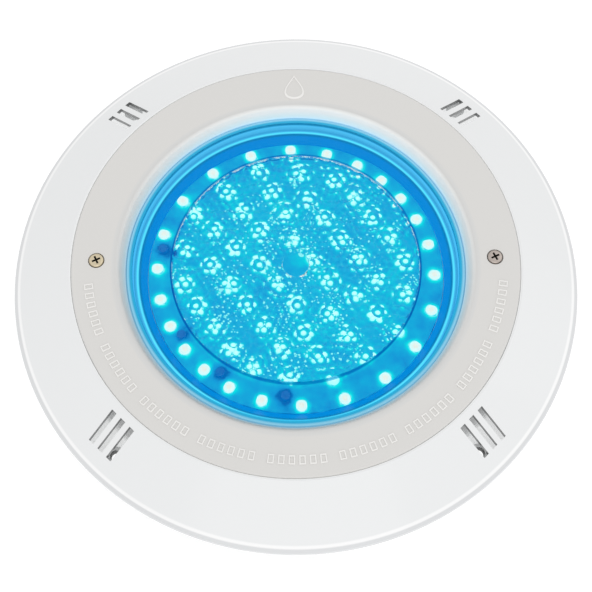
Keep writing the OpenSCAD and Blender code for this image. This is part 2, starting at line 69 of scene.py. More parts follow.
MOUNTS = {mount["name"]: mount for mount in frame["record"]["mounts"]}
MM = 0.001
TURN = 2 * math.pi


# ---- Meshes ----

def add_object(name, verts, faces, smooth_angle=30):
    """A mesh object with its faces turned outwards and its sharp edges marked by angle."""
    mesh = bpy.data.meshes.new(name)
    mesh.from_pydata(verts, [], faces)
    work = bmesh.new()
    work.from_mesh(mesh)
    bmesh.ops.remove_doubles(work, verts=work.verts, dist=1e-6)
    bmesh.ops.recalc_face_normals(work, faces=work.faces)
    work.to_mesh(mesh)
    work.free()
    mesh.shade_smooth()
    mesh.set_sharp_from_angle(angle=math.radians(smooth_angle))
    made = bpy.data.objects.new(name, mesh)
    bpy.context.scene.collection.objects.link(made)
    return made


def finish_piece(piece, body, slot_name, *replaced, look=None):
    """Gives a piece its material and its body, and hides the CAD nodes that it stands for."""
    piece.data.materials.clear()
    piece.data.materials.append(MATERIALS[look or slot_name])
    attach(piece, body)
    if replaced:
        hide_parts(*replaced)
    return piece


def circle_points(radius, z, count, centre=(0, 0)):
    return [(centre[0] + radius * math.cos(TURN * k / count),
             centre[1] + radius * math.sin(TURN * k / count), z) for k in range(count)]


def lathe(profile, count, centre=(0, 0)):
    """Vertices and faces of a profile of (radius, z) points turned round the Z axis."""
    verts, faces = [], []
    for radius, z in profile:
        verts += circle_points(max(radius, 1e-7), z, count, centre)
    for ring in range(len(profile) - 1):
        for k in range(count):
            a = ring * count + k
            b = ring * count + (k + 1) % count
            faces.append((a, b, b + count, a + count))
    return verts, faces


def join_parts(parts):
    """Joins several (vertices, faces) into one."""
    verts, faces = [], []
    for part_verts, part_faces in parts:
        start = len(verts)
        verts += part_verts
        faces += [tuple(i + start for i in face) for face in part_faces]
    return verts, faces


def islands(node):
    """The centre and the highest z of every separate solid of a CAD node."""
    work = bmesh.new()
    work.from_mesh(NODES[node].data)
    bmesh.ops.remove_doubles(work, verts=work.verts, dist=1e-6)
    left = set(work.verts)
    found = []
    while left:
        stack = [left.pop()]
        solid = []
        while stack:
            vert = stack.pop()
            solid.append(vert.co.copy())
            for edge in vert.link_edges:
                other = edge.other_vert(vert)
                if other in left:
                    left.remove(other)
                    stack.append(other)
        low = Vector([min(p[i] for p in solid) for i in range(3)])
        high = Vector([max(p[i] for p in solid) for i in range(3)])
        found.append(((low + high) / 2, high.z))
    work.free()
    return sorted(found, key=lambda entry: (round(entry[0].x, 6), round(entry[0].y, 6)))


# ---- Materials ----

class Shader:
    """A Principled material with small helpers for procedural inputs."""

    def __init__(self, name, color, roughness, metallic=0.0):
        self.name = name
        self.material = bpy.data.materials.new(name)
        self.material.use_nodes = True
        self.nodes = self.material.node_tree.nodes
        self.links = self.material.node_tree.links
        self.bsdf = self.nodes["Principled BSDF"]
        self.bsdf.inputs["Base Color"].default_value = (*color, 1)
        self.bsdf.inputs["Roughness"].default_value = roughness
        self.bsdf.inputs["Metallic"].default_value = metallic

    def node(self, kind, **settings):
        made = self.nodes.new(kind)
        for key, value in settings.items():
            setattr(made, key, value)
        return made

    def position(self):
        return self.node("ShaderNodeTexCoord").outputs["Object"]

    def coordinates(self):
        """The X, Y and Z outputs of the position."""
        parts = self.node("ShaderNodeSeparateXYZ")
        self.links.new(self.position(), parts.inputs[0])
        return parts.outputs

    def noise(self, scale, detail=3.0, roughness=0.5):
        noise = self.node("ShaderNodeTexNoise")
        noise.inputs["Scale"].default_value = scale
        noise.inputs["Detail"].default_value = detail
        noise.inputs["Roughness"].default_value = roughness
        self.links.new(self.position(), noise.inputs["Vector"])
        return noise.outputs["Fac"]

    def math(self, operation, a, b=0.0):
        node = self.node("ShaderNodeMath", operation=operation)
        for slot, value in ((0, a), (1, b)):
            if isinstance(value, (int, float)):
                node.inputs[slot].default_value = value
            else:
                self.links.new(value, node.inputs[slot])
        return node.outputs[0]

    def radius(self):
        """Distance from the Z axis."""
        return self.distance(self.position(), 0, 0)

    def distance(self, place, x, y):
        """Distance of a place from the upright line through x, y."""
        middle = self.node("ShaderNodeVectorMath", operation="SUBTRACT")
        middle.inputs[1].default_value = (x, y, 0)
        self.links.new(place, middle.inputs[0])
        flat = self.node("ShaderNodeVectorMath", operation="MULTIPLY")
        flat.inputs[1].default_value = (1, 1, 0)
        self.links.new(middle.outputs[0], flat.inputs[0])
        length = self.node("ShaderNodeVectorMath", operation="LENGTH")
        self.links.new(flat.outputs[0], length.inputs[0])
        return length.outputs["Value"]

    def ramp(self, factor, stops):
        """A colour ramp of (position, colour) stops; a colour is a grey or three numbers."""
        ramp = self.node("ShaderNodeValToRGB")
        band = ramp.color_ramp.elements
        while len(band) < len(stops):
            band.new(0.5)
        for element, (place, color) in zip(band, stops):
            element.position = place
            element.color = (color, color, color, 1) if isinstance(color, float) else (*color, 1)
        self.links.new(factor, ramp.inputs["Fac"])
        return ramp.outputs["Color"]

    def radial_ramp(self, start, end, stops):
        """A colour ramp along the distance from the axis, with its stops in metres."""
        place = self.node("ShaderNodeMapRange")
        place.inputs["From Min"].default_value = start
        place.inputs["From Max"].default_value = end
        self.links.new(self.radius(), place.inputs["Value"])
        scaled = [((radius - start) / (end - start), color) for radius, color in stops]
        return self.ramp(place.outputs["Result"], scaled)

    def scaled(self, color, factor):
        """A colour times a factor."""
        scale = self.node("ShaderNodeVectorMath", operation="SCALE")
        self.links.new(color, scale.inputs[0])
        self.links.new(factor, scale.inputs["Scale"])
        return scale.outputs[0]

    def bump(self, height, distance, strength=1.0):
        bump = self.node("ShaderNodeBump")
        bump.inputs["Distance"].default_value = distance
        bump.inputs["Strength"].default_value = strength
        self.links.new(height, bump.inputs["Height"])
        self.links.new(bump.outputs["Normal"], self.bsdf.inputs["Normal"])

    def use(self, socket, value):
        self.links.new(value, self.bsdf.inputs[socket])

    def set(self, socket, value):
        self.bsdf.inputs[socket].default_value = value


def shade(color, factor):
    return tuple(min(1.0, channel * factor) for channel in color)


def moulded(name, color, roughness, grain=0.0, spread=0.02, scale=18.0):
    """A plastic with faint clouds in its colour and roughness, and a grain if it has one."""
    shader = Shader(name, color, roughness)
    if spread:
        clouds = shader.noise(scale, 4.0)
        shader.use("Base Color", shader.ramp(clouds, [(0.3, shade(color, 1 - spread)),
                                                      (0.7, shade(color, 1 + spread))]))
    shader.use("Roughness", shader.ramp(shader.noise(scale * 3), [(0.3, max(roughness - 0.05, 0.02)),
                                                                  (0.7, roughness + 0.05)]))
    if grain:
        shader.bump(shader.noise(2600.0, 2.0), grain)
    return shader


def machined(name, color, roughness, scale=900.0, spread=0.12):
    """A metal with fine turning marks."""
    shader = Shader(name, color, roughness, 1.0)
    marks = shader.noise(scale, 2.0)
    shader.use("Base Color", shader.ramp(marks, [(0.35, shade(color, 1 - spread)),
                                                 (0.65, shade(color, 1 + spread))]))
    shader.bump(marks, 0.02 * MM, 0.4)
    return shader


def lit_reflector():
    """The stepped ring round the board, with painted light: it glows in bands of blue and cyan by their
    distance from the axis, a bright painted highlight band among darker bands of painted shade.
    """
    shader = Shader("reflector_blue", (0.0, 0.03, 0.06), 0.3)
    bands = shader.radial_ramp(0.0755, 0.0845, [
        (0.0787, REFLECTOR_SLOPE), (0.0791, REFLECTOR_LINE), (0.0797, REFLECTOR_LINE),
        (0.0803, REFLECTOR_BRIGHT), (0.0808, REFLECTOR_BRIGHT), (0.0813, REFLECTOR_LEDGE),
        (0.0821, REFLECTOR_SHADE), (0.0829, REFLECTOR_WALL)])
    shader.use("Emission Color", bands)
    shader.set("Emission Strength", 1.0)
    shader.set("Specular IOR Level", 0.1)
    shader.bump(shader.noise(240.0), 0.05 * MM)
    return shader


def lit_board():
    """Blue board with painted light: it glows blue, and is lit to cyan and white round each lamp by the
    glow attribute of its mesh, with painted glints behind the stipple.
    """
    shader = Shader("board_mask", (0.0, 0.01, 0.02), 0.5)
    shader.set("Specular IOR Level", 0.1)
    glow = shader.node("ShaderNodeAttribute", attribute_name="glow").outputs["Fac"]
    blotches = shader.math("SUBTRACT", shader.noise(BLOTCH_SCALE, 4.0), BLOTCH_MIDDLE)
    uneven = shader.math("MULTIPLY", blotches, BLOTCH_DEPTH)
    # Painted glints: spots of lamp light, as the lens cells break it up, painted on the board behind the
    # stipple.
    grid = shader.node("ShaderNodeTexVoronoi")
    grid.inputs["Scale"].default_value = GLINT_SCALE
    shader.links.new(shader.position(), grid.inputs["Vector"])
    glints = shader.ramp(grid.outputs["Distance"], [(0.17, 1.0), (0.24, 0.0)])
    behind_stipple = shader.radial_ramp(0.05, 0.07, [(0.061, GLINT_LIGHT), (0.063, 0.0)])
    glints = shader.math("MULTIPLY", glints, behind_stipple)
    total = shader.math("ADD", shader.math("ADD", glow, uneven), glints)
    shader.use("Emission Color", shader.ramp(total, [
        (0.0, BOARD_DARK), (0.16, BOARD_FAR), (0.42, BOARD_MID), (0.62, BOARD_NEAR),
        (0.85, BOARD_HALO), (1.0, LAMP_EDGE)]))
    shader.set("Emission Strength", 1.0)
    return shader


def lit_resin(name, middle, white):
    """Lamp resin: white, with its own tint in the middle where the phosphor is."""
    shader = Shader(name, (0.1, 0.2, 0.2), 0.3)
    away = shader.node("ShaderNodeAttribute", attribute_name="away").outputs["Fac"]
    uneven = shader.math("MULTIPLY", shader.math("SUBTRACT", shader.noise(700.0), 0.5), 0.1)
    shader.use("Emission Color", shader.ramp(shader.math("ADD", away, uneven), [
        (0.0, middle), (0.35, middle), (0.52, white), (0.80, white),
        (0.88, LAMP_EDGE), (0.99, LAMP_BASE)]))
    shader.set("Emission Strength", LAMP_STRENGTH)
    return shader


def lens_plastic():
    """Clear plastic with a tinted circle round its stipple and a rim that glows blue."""
    shader = Shader("lens_glass", LENS_TINT, 0.0)
    shader.set("IOR", LENS_INDEX)
    shader.set("Specular Tint", (0.0, 0.3, 0.4, 1))
    shader.use("Base Color", shader.radial_ramp(0.060, 0.088, [
        (0.0629, LENS_TINT), (0.0632, LENS_CIRCLE), (0.0640, LENS_CIRCLE), (0.0643, LENS_TINT),
        (0.0828, LENS_TINT), (0.0831, LENS_RIM), (0.0842, LENS_RIM), (0.0852, LENS_EDGE)]))
    shader.use("Transmission Weight", shader.radial_ramp(0.080, 0.088, [
        (0.0830, 1.0), (0.0835, 0.05)]))
    shader.use("Emission Color", shader.radial_ramp(0.080, 0.089, [
        (0.0828, 0.0), (0.0832, LENS_RIM_GLOW), (0.0842, LENS_RIM_GLOW),
        (0.0852, LENS_EDGE), (0.0872, LENS_EDGE)]))
    shader.set("Emission Strength", LENS_STRENGTH)
    return shader


def gap_glow():
    """Painted light in the gap between the bezel and the ring: a glow that lightens the shade of the gap.
    """
    return [(0.1127, 0.0), (0.1130, 0.11), (0.1135, 0.11), (0.1138, 0.0)]


def bezel_plastic():
    """Light grey plastic with a fine grain, with painted light from the lens glowing blue at its inner
    edge, and on its bevel a painted highlight band, a band of painted shade, and painted light and shade
    that make it lighter at the top and darker at the bottom."""
    shader = moulded("bezel_abs", BEZEL_GREY, 0.45, grain=0.006 * MM, spread=0)
    # Painted light and shade in the base colour: blue lens light at the inner edge, a painted highlight
    # band and a band of painted shade across the bevel.
    tone = shader.radial_ramp(0.085, 0.115, [
        (0.0865, (0.45, 0.62, 0.70)), (0.0873, (0.58, 0.68, 0.70)), (0.0883, (0.75, 0.77, 0.77)),
        (0.0893, (0.77, 0.77, 0.76)), (0.0908, (0.65, 0.65, 0.64)), (0.0924, (0.67, 0.67, 0.66)),
        (0.0934, BEZEL_GREY)])
    # Painted light and shade: the bevel is painted lighter towards +Y and +X and darker towards -Y.
    side = shader.node("ShaderNodeVectorMath", operation="DOT_PRODUCT")
    side.inputs[1].default_value = BEVEL_LIT_SIDE
    shader.links.new(shader.position(), side.inputs[0])
    on_bevel = shader.radial_ramp(0.085, 0.115, [(0.0890, 1.0), (0.0908, 0.0)])
    gain = shader.math("ADD", shader.math("MULTIPLY", side.outputs["Value"], on_bevel), 1.0)
    shader.use("Base Color", shader.scaled(tone, gain))
    # Painted light: a blue glow from the lens on the inner edge, and the painted light in the gap.
    shader.use("Emission Color", shader.radial_ramp(0.085, 0.116, [
        (0.0866, BEZEL_LENS_GLOW), (0.0882, 0.0), *gap_glow()]))
    shader.set("Emission Strength", 1.0)
    return shader


def slot_wall_shade(shader):
    """How much painted shade darkens the face ring: 0 but for the upright walls of its slots, off the
    fingers.
    """
    facing = shader.node("ShaderNodeSeparateXYZ")
    shader.links.new(shader.node("ShaderNodeTexCoord").outputs["Normal"], facing.inputs[0])
    upright = shader.ramp(shader.math("ABSOLUTE", facing.outputs["Z"]), [(0.15, 1.0), (0.35, 0.0)])
    among_slots = shader.radial_ramp(0.110, 0.146, [
        (0.1165, 0.0), (0.1170, SLOT_SHADE), (0.1385, SLOT_SHADE), (0.1395, 0.0)])
    place = shader.coordinates()
    corner = shader.math("ABSOLUTE", shader.math("MULTIPLY", place["X"], place["Y"]))
    between_fingers = shader.math("GREATER_THAN", corner, SLOT_CORNER)
    return shader.math("MULTIPLY", shader.math("MULTIPLY", upright, among_slots), between_fingers)


def ring_plastic():
    """Glossy white plastic, with painted shade on its outer wall, a painted highlight on its rim, painted
    shade on the walls of its slots and painted light in the gap at its inner edge.
    """
    shader = moulded("face_abs", RING_WHITE, 0.16, spread=0)
    # Painted highlight on the rounded rim and painted shade on the outer wall.
    tone = shader.radial_ramp(0.110, 0.146, [
        (0.1150, RING_WHITE), (0.1412, RING_WHITE), (0.1419, (0.93, 0.93, 0.93)),
        (0.1427, (0.93, 0.93, 0.93)), (0.1433, (0.70, 0.71, 0.72)), (0.1449, (0.70, 0.71, 0.72))])
    shader.use("Base Color", shader.scaled(tone, shader.math("SUBTRACT", 1.0, slot_wall_shade(shader))))
    shader.use("Emission Color", shader.radial_ramp(0.110, 0.116, gap_glow()))
    shader.set("Emission Strength", 1.0)
    return shader


def flange_screw_masks(shader):
    """0 in the two lower screw holes of the flange, and less than 1 on all four bosses."""
    hole = MOUNTS["flange_screws"]["dims"]
    hole_x, hole_y = hole["spacing_x_mm"] / 2 * MM, hole["spacing_y_mm"] / 2 * MM
    place = shader.coordinates()
    half = shader.node("ShaderNodeCombineXYZ")
    shader.links.new(shader.math("ABSOLUTE", place["X"]), half.inputs["X"])
    shader.links.new(place["Y"], half.inputs["Y"])
    from_lower_hole = shader.distance(half.outputs[0], hole_x, -hole_y)
    outside_hole = shader.math("GREATER_THAN", from_lower_hole, hole["hole_r_mm"] * MM + HOLE_EDGE)
    quarter = shader.node("ShaderNodeVectorMath", operation="ABSOLUTE")
    shader.links.new(shader.position(), quarter.inputs[0])
    from_hole = shader.distance(quarter.outputs[0], hole_x, hole_y)
    on_boss = shader.math("MULTIPLY", shader.math("LESS_THAN", from_hole, BOSS_R), BOSS_SHADE)
    return outside_hole, shader.math("SUBTRACT", 1.0, on_boss)


def niche_plastic():
    """Grey-white plastic, with painted light on its flange where it shows through the ring, less on the
    bosses and more towards the top, and painted shade in its lower screw holes.
    """
    shader = moulded("niche_abs", NICHE_GREY, 0.5, grain=0.006 * MM, spread=0)
    outside_hole, off_boss = flange_screw_masks(shader)
    place = shader.coordinates()
    # Painted light on the flange where it shows through the ring: stronger beyond the rib and towards the
    # top, weaker on the bosses.
    height = shader.node("ShaderNodeMapRange")
    height.inputs["From Min"].default_value = FLANGE_LIT_FROM
    height.inputs["From Max"].default_value = FLANGE_LIT_TO
    shader.links.new(place["Z"], height.inputs["Value"])
    beyond_rib = shader.radial_ramp(0.115, 0.140, [(0.1206, 0.35), (0.1225, 1.0)])
    glow = shader.math("MULTIPLY", height.outputs["Result"], beyond_rib)
    glow = shader.math("MULTIPLY", shader.math("MULTIPLY", glow, outside_hole), off_boss)
    upper = shader.math("ADD", shader.math("MULTIPLY", place["Y"], FLANGE_GLOW_RISE), 1.0)
    glow = shader.math("MULTIPLY", glow, shader.math("MULTIPLY", upper, FLANGE_GLOW))
    shader.use("Emission Color", shader.ramp(glow, [(0.0, 0.0), (1.0, 1.0)]))
    shader.set("Emission Strength", 1.0)
    # Painted shade: the lower screw holes are painted dark.
    shader.use("Base Color", shader.ramp(outside_hole, [(0.0, HOLE_SHADE), (1.0, NICHE_GREY)]))
    return shader


def screw_steel(name, node, color):
    """Turned steel, with painted shade in the cross recess."""
    shader = machined(name, color, 0.30, spread=0.05)
    low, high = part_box(node)
    away = shader.distance(shader.position(), (low.x + high.x) / 2, (low.y + high.y) / 2)
    height = shader.coordinates()["Z"]
    sunk = shader.math("LESS_THAN", height, high.z - RECESS_TOP)
    in_head = shader.math("GREATER_THAN", height, high.z - RECESS_FLOOR)
    inside = shader.math("LESS_THAN", away, RECESS_R)
    recess_shade = shader.math("MULTIPLY", shader.math("MULTIPLY", sunk, in_head), inside)
    # Painted shade: the cross recess is painted near black.
    shader.use("Base Color", shader.ramp(recess_shade, [(0.0, color), (1.0, (0.02, 0.018, 0.015))]))
    return shader


def lit_screws():
    """Board screws in the shade of the lamps round them."""
    shader = Shader("board_screw", (0.0, 0.02, 0.08), 0.5)
    shader.use("Emission Color", shader.ramp(shader.noise(500.0), [
        (0.3, (0.0, 0.10, 0.40)), (0.7, (0.0, 0.14, 0.46))]))
    shader.set("Emission Strength", 1.0)
    return shader


RING_WHITE = (0.815, 0.825, 0.83)
SLOT_SHADE = 0.7
SLOT_CORNER = 0.004  # x times y, in square metres: larger at every slot than at the fingers
NICHE_GREY = (0.70, 0.71, 0.71)
HOLE_SHADE = 0.08
HOLE_EDGE = 0.15 * MM
BOSS_R = 4.9 * MM
BOSS_SHADE = 0.85
FLANGE_LIT_FROM = 0.5 * MM
FLANGE_LIT_TO = 1.5 * MM
FLANGE_GLOW = 0.42
FLANGE_GLOW_RISE = 1.2
RECESS_TOP = 0.3 * MM
RECESS_FLOOR = 1.5 * MM
RECESS_R = 2.9 * MM
BEZEL_GREY = (0.70, 0.69, 0.67)
BEZEL_LENS_GLOW = (0.07, 0.10, 0.13)
BEVEL_LIT_SIDE = (1.0, 3.2, 0)
LENS_INDEX = 1.49
LAMP_STRENGTH = 0.97
LAMP_CREAM = (0.86, 0.80, 0.72)
LAMP_WHITE = (0.76, 0.88, 0.84)
LAMP_PALE = (0.62, 1.0, 0.96)
LAMP_CYAN = (0.48, 1.0, 1.0)
LAMP_EDGE = (0.30, 0.88, 0.90)
LAMP_BASE = (0.0, 0.56, 0.70)
BLOTCH_SCALE = 170.0
BLOTCH_MIDDLE = 0.52
BLOTCH_DEPTH = 0.75
GLINT_SCALE = 155.0
GLINT_LIGHT = 0.9
BOARD_DARK = (0.0, 0.12, 0.44)
BOARD_FAR = (0.006, 0.29, 0.66)
BOARD_MID = (0.006, 0.42, 0.71)
BOARD_NEAR = (0.002, 0.60, 0.74)
BOARD_HALO = (0.0, 0.78, 0.80)
REFLECTOR_SLOPE = (0.0, 0.22, 0.65)
REFLECTOR_LINE = (0.0, 0.18, 0.46)
REFLECTOR_LEDGE = (0.06, 0.45, 0.79)
REFLECTOR_BRIGHT = (0.11, 0.78, 1.0)
REFLECTOR_SHADE = (0.04, 0.31, 0.62)
REFLECTOR_WALL = (0.08, 0.50, 0.84)
LENS_TINT = (0.86, 0.98, 1.0)
LENS_CIRCLE = (0.03, 0.30, 0.62)
LENS_RIM = (0.04, 0.38, 0.62)
LENS_RIM_GLOW = (0.0, 0.16, 0.26)
LENS_EDGE = (0.22, 0.48, 0.62)
LENS_STRENGTH = 0.45

SHADERS = [
    ring_plastic(),
    bezel_plastic(),
    # Painted highlight: the raised marks and the drop are painted lighter than the bezel, for the light
    # that they catch.
    moulded("bezel_mark_highlight", (0.86, 0.85, 0.83), 0.4, grain=0.006 * MM),
    screw_steel("left_screw_steel", "left_face_screw", (0.68, 0.59, 0.42)),
    screw_steel("right_screw_steel", "right_face_screw", (0.50, 0.44, 0.40)),
    lit_screws(),
    niche_plastic(),
    moulded("housing_abs", (0.74, 0.74, 0.73), 0.45, grain=0.02 * MM),
    moulded("black_rubber", (0.025, 0.025, 0.027), 0.75, grain=0.03 * MM, spread=0.2),
    moulded("grey_silicone", (0.30, 0.33, 0.34), 0.6, grain=0.02 * MM, spread=0.08),
    lens_plastic(),
    lit_reflector(),
    moulded("lamp_abs", (0.80, 0.81, 0.81), 0.25),
    lit_board(),
    lit_resin("led_resin", LAMP_CREAM, LAMP_WHITE),
    lit_resin("centre_resin", LAMP_PALE, LAMP_CYAN),
    machined("stainless", (0.60, 0.57, 0.52), 0.28),
    machined("brass", (0.72, 0.50, 0.20), 0.3),
    machined("tinned_copper", (0.66, 0.67, 0.68), 0.35),
    moulded("circuit_green", (0.03, 0.22, 0.10), 0.35, spread=0.15, scale=120.0),
    moulded("component_black", (0.03, 0.03, 0.035), 0.5, grain=0.02 * MM, spread=0.2),
    machined("copper_wire", (0.62, 0.26, 0.11), 0.3),
    moulded("wire_red", (0.50, 0.03, 0.02), 0.35, spread=0.08),
    moulded("natural_nylon", (0.78, 0.76, 0.68), 0.5, grain=0.01 * MM, spread=0.05),
    moulded("gland_nylon", (0.075, 0.08, 0.085), 0.5, grain=0.02 * MM, spread=0.15),
]
MATERIALS = {shader.name: shader.material for shader in SHADERS}


# ---- CAD nodes that stay as they are, with rounded edges ----

def dress_node(name, slot_name, edge_round):
    """Gives a CAD node its material, welds its seams and rounds its edges."""
    node = NODES[name]
    node.data.materials.clear()
    node.data.materials.append(MATERIALS[OWN_LOOKS.get(name, slot_name)])
    weld = node.modifiers.new("weld", "WELD")
    weld.merge_threshold = 1e-6
    if edge_round:
        bevel = node.modifiers.new("bevel", "BEVEL")
        bevel.width = edge_round
        bevel.segments = 2
        bevel.limit_method = "ANGLE"
        bevel.angle_limit = math.radians(32)
    node.modifiers.new("normals", "WEIGHTED_NORMAL")


OWN_LOOKS = {"left_face_screw": "left_screw_steel", "right_face_screw": "right_screw_steel",
             "board_screws": "board_screw"}
EDGE_ROUNDS = {"face_ring": 0.25 * MM, "bezel_ring": 0.2 * MM, "niche": 0.4 * MM,
               "housing": 0.4 * MM, "gland_nut": 0.4 * MM, "gland_body": 0.3 * MM,
               "connector_block": 0.4 * MM}
for part in frame["record"]["subparts"]:
    dress_node(part["node"], part["material_slot"], EDGE_ROUNDS.get(part["node"], 0.12 * MM))


# ---- Lens, with its pressed dimples ----

LENS_SEGMENTS = 192
CELL_PITCH = 6.2 * MM
CELL_CURVE = 3.5 * MM
CELL_DRIFT = 0.21
STIPPLE_R = 63.2 * MM
STIPPLE_GROOVE = 0.8 * MM
EYE_R = 6.3 * MM
EYE_GROOVE = 0.5 * MM
GRID_STEP = 0.54 * MM
GRID_ROW = GRID_STEP * math.sqrt(3) / 2


def grid_point(i, j):
    """A point of a triangular grid, in the plane of the lens front."""
    return ((i + j / 2) * GRID_STEP, j * GRID_ROW)


class Cells:
    """Pressed cells on a six-sided grid, each a little off its place, as a pattern plate has."""

    def __init__(self):
        seeded = random.Random(11)
        self.row = CELL_PITCH * math.sqrt(3) / 2
        self.reach = CELL_PITCH / math.sqrt(3)
        self.centres = {}
        reach = int(STIPPLE_R / self.row) + 2
        for j in range(-reach, reach + 1):
            for i in range(-reach, reach + 1):
                drift = CELL_DRIFT * CELL_PITCH
                x = (i + (j % 2) / 2) * CELL_PITCH + seeded.uniform(-drift, drift)
                y = j * self.row + seeded.uniform(-drift, drift)
                self.centres[i, j] = (x, y)

    def depth(self, x, y):
        """How deep the lens front is sunk at a point."""
        row = round(y / self.row)
        away = self.reach
        for j in (row - 1, row, row + 1):
            column = round(x / CELL_PITCH - (j % 2) / 2)
            for i in (column - 1, column, column + 1):
                if (i, j) in self.centres:
                    cx, cy = self.centres[i, j]
                    away = min(away, math.hypot(x - cx, y - cy))
        return (self.reach ** 2 - away ** 2) / (2 * CELL_CURVE)


def stipple(top):
    """Concave cells between the eye and the groove, and the flat strips at both."""
    cells = Cells()
    inner, outer = EYE_R + EYE_GROOVE, STIPPLE_R
    reach = int(outer / GRID_ROW) + 1
    kept = {}
    verts = []
    for j in range(-reach, reach + 1):
        for i in range(-2 * reach, 2 * reach + 1):
            x, y = grid_point(i, j)
            if inner + 0.05 * MM < math.hypot(x, y) < outer - 0.05 * MM:
                kept[i, j] = len(verts)
                verts.append((x, y, top - cells.depth(x, y)))
    faces, sides = [], {}
    for i, j in kept:
        for corners in (((i, j), (i + 1, j), (i, j + 1)), ((i + 1, j), (i + 1, j + 1), (i, j + 1))):
            if all(corner in kept for corner in corners):
                faces.append(tuple(kept[corner] for corner in corners))
    for face in faces:
        for k in range(3):
            side = tuple(sorted((face[k], face[(k + 1) % 3])))
            sides[side] = sides.get(side, 0) + 1
    open_sides = [side for side, uses in sides.items() if uses == 1]
    filled = {tuple(sorted(face)) for face in faces}
    return join_parts([(verts, faces), edge_strips(verts, open_sides, filled, top)])


def edge_strips(verts, open_sides, filled, top):
    """Triangles between the stepped edge of the cells and the two circles that bound them."""
    used = sorted({i for side in open_sides for i in side})
    place = {old: new for new, old in enumerate(used)}
    points = [Vector(verts[i][:2]) for i in used]
    heights = [verts[i][2] for i in used]
    edges = [(place[a], place[b]) for a, b in open_sides]
    for radius in (EYE_R + EYE_GROOVE, STIPPLE_R):
        start = len(points)
        points += [Vector(p[:2]) for p in circle_points(radius, top, LENS_SEGMENTS)]
        heights += [top] * LENS_SEGMENTS
        edges += [(start + k, start + (k + 1) % LENS_SEGMENTS) for k in range(LENS_SEGMENTS)]
    out_verts, _, out_faces, origins, _, _ = delaunay_2d_cdt(points, edges, [], 0, 1e-9)
    faces = [tuple(face) for face in out_faces if in_strip(face, out_verts)]
    made = [(p.x, p.y, heights[ids[0]] if ids else top) for p, ids in zip(out_verts, origins)]
    return made, faces


def in_strip(face, points):
    """Whether a triangle lies between the cells and a circle."""
    x = sum(points[i].x for i in face) / len(face)
    y = sum(points[i].y for i in face) / len(face)
    row = y / GRID_ROW
    column = x / GRID_STEP - row / 2
    i, j = math.floor(column), math.floor(row)
    upper = (column - i) + (row - j) > 1
    corners = ((i + 1, j), (i + 1, j + 1), (i, j + 1)) if upper else ((i, j), (i + 1, j), (i, j + 1))
    inner, outer = EYE_R + EYE_GROOVE + 0.05 * MM, STIPPLE_R - 0.05 * MM
    inside = all(inner < math.hypot(*grid_point(*corner)) < outer for corner in corners)
    return not inside and EYE_R + EYE_GROOVE * 0.99 < math.hypot(x, y) < STIPPLE_R


def build_lens():
    low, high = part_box("lamp_lens")
    top = high.z
    rim_r = high.x
    front_r = rim_r - 2.9 * MM
    skirt_r = rim_r - 4.5 * MM
    back = top - 4 * MM
    rim_top = top - 4.2 * MM
    groove_end = STIPPLE_R + STIPPLE_GROOVE
    outside = [(STIPPLE_R, top), (STIPPLE_R + STIPPLE_GROOVE / 2, top - 0.05 * MM), (groove_end, top),
               (groove_end + 5 * MM, top), (front_r - 1.0 * MM, top), (front_r - 0.3 * MM, top - 0.3 * MM),
               (front_r, top - 1.0 * MM), (front_r, rim_top + 0.3 * MM), (front_r + 0.3 * MM, rim_top),
               (rim_r - 0.2 * MM, rim_top), (rim_r, rim_top - 0.2 * MM), (rim_r, low.z),
               (skirt_r, low.z), (skirt_r, back), (0.05 * MM, back), (0, back)]
    eye_out = EYE_R + EYE_GROOVE
    eye = [(0, top), (EYE_R, top), (EYE_R + EYE_GROOVE / 2, top - 0.1 * MM), (eye_out, top)]
    parts = [lathe(outside, LENS_SEGMENTS), lathe(eye, LENS_SEGMENTS), stipple(top)]
    lens = add_object("lens", *join_parts(parts))
    finish_piece(lens, "light", "lens_glass", "lamp_lens")


# ---- Board and lamps ----

BOARD_GLOW = 0.2
STIPPLE_GLOW = 0.12
LAMP_CORE = 0.85
LAMP_CORE_R = 3.9 * MM
LAMP_HALO = 0.22
LAMP_HALO_R = 8.0 * MM
LAMP_REACH = 16 * MM
SCREW_SHADE = 0.5
SCREW_SHADE_R = 4.2 * MM
SCREW_REACH = 12 * MM
ROW_TURN = math.radians(37)


def board_glow(x, y, lamps, screws):
    """How strongly the board shines at a point, from the lamps and screws near it."""
    glow = BOARD_GLOW + STIPPLE_GLOW * (math.hypot(x, y) < STIPPLE_R)
    for lamp in lamps:
        gap = math.hypot(x - lamp.x, y - lamp.y)
        if gap < LAMP_REACH:
            core = LAMP_CORE * math.exp(-((gap / LAMP_CORE_R) ** 4))
            halo = LAMP_HALO * math.exp(-((gap / LAMP_HALO_R) ** 2))
            glow += core + halo
    for screw in screws:
        gap = math.hypot(x - screw.x, y - screw.y)
        if gap < SCREW_REACH:
            glow -= SCREW_SHADE * math.exp(-((gap / SCREW_SHADE_R) ** 2))
    return min(max(glow, 0.0), 1.0)


def build_board(lamps, screws):
    """The board as a fine disc, so that it can carry the glow of its lamps."""
    low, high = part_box("led_board")
    count, rings = 300, 110
    profile = [(high.x * k / rings, high.z) for k in range(rings + 1)]
    profile[-1] = (high.x - 0.1 * MM, high.z)
    profile += [(high.x, high.z - 0.1 * MM), (high.x, low.z), (0, low.z)]
    board = add_object("board_disc", *lathe(profile, count))
    glow = board.data.attributes.new("glow", "FLOAT", "POINT")
    for index, vert in enumerate(board.data.vertices):
        value = 0.1
        if vert.co.z > high.z - 0.05 * MM:
            value = board_glow(vert.co.x, vert.co.y, lamps, screws)
        glow.data[index].value = value
    finish_piece(board, "light", "board_mask", "led_board")


